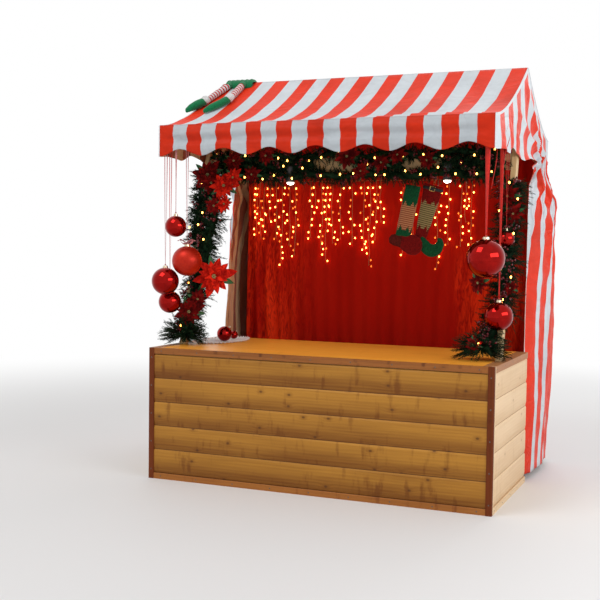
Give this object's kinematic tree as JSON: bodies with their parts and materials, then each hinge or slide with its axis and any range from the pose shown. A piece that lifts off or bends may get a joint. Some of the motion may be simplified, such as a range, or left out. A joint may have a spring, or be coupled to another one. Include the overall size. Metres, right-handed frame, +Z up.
{
  "type": "wooden market stall",
  "caption": "Boarded wooden market stall counter under a red and white striped canopy with scalloped edges, curtains, garlands and festive trimmings.",
  "frame": {"origin": "middle of the stall's bounding box at ground level", "axes": "+X along the counter to the customer's right, +Y from the counter's front to the back, +Z up"},
  "size_m": [2.2223, 1.7089, 2.612],
  "materials": {
    "brown_batten": "stained batten",
    "countertop": "varnished board",
    "elf_cloth": "felt and jersey",
    "fir_garland": "artificial fir",
    "flower_velvet": "velvet petals",
    "frame_timber": "planed softwood",
    "grey_metal": "satin paint",
    "honey_boards": "lacquered pine",
    "knit_wool": "coarse knit",
    "light_cable": "clear cable",
    "pale_boards": "pale planed spruce",
    "red_gloss_ball": "mirror-bright lacquer",
    "red_matt_ball": "satin lacquer",
    "red_velvet": "crushed velvet",
    "striped_tarp": "coated tarpaulin in red and white stripes",
    "white_lace": "lace"
  },
  "bodies": {
    "root": {"back_curtain": "red_velvet", "back_eave_bar": "frame_timber", "back_rafters": "frame_timber", "back_tarp": "striped_tarp", "ball_left_lower": "red_gloss_ball", "ball_left_matt": "red_matt_ball", "ball_left_outer": "red_gloss_ball", "ball_left_upper": "red_gloss_ball", "ball_right_large": "red_gloss_ball", "ball_right_lower": "red_gloss_ball", "ball_right_upper": "red_gloss_ball", "canopy_back": "striped_tarp", "canopy_front": "striped_tarp", "corner_batten_left": "brown_batten", "corner_batten_right": "brown_batten", "counter_balls": "red_gloss_ball", "counter_bearers": "frame_timber", "counter_legs": "frame_timber", "counter_rails": "frame_timber", "countertop": "countertop", "cross_beam": "frame_timber", "curtain_rail": "frame_timber", "elf_legs": "elf_cloth", "front_cladding": "honey_boards", "front_eave_bar": "frame_timber", "front_plinth": "brown_batten", "front_post_left": "frame_timber", "front_post_right": "frame_timber", "front_rafters": "frame_timber", "front_top_trim": "brown_batten", "front_valance": "striped_tarp", "gable_left": "striped_tarp", "gable_right": "striped_tarp", "garland_beam": "fir_garland", "garland_left": "fir_garland", "garland_right": "fir_garland", "lace_mat": "white_lace", "light_strands": "light_cable", "light_wire": "light_cable", "poinsettias_beam": "flower_velvet", "poinsettias_left": "flower_velvet", "poinsettias_right": "flower_velvet", "rear_posts": "frame_timber", "ridge_beam": "frame_timber", "side_bottom_rails": "pale_boards", "side_cap_strips": "pale_boards", "side_cladding_left": "pale_boards", "side_cladding_right": "pale_boards", "side_corner_strips": "pale_boards", "side_tarp_left": "striped_tarp", "side_tarp_right": "striped_tarp", "side_top_rails": "pale_boards", "spotlights": "grey_metal", "stockings": "knit_wool"}
  },
  "joints": []
}
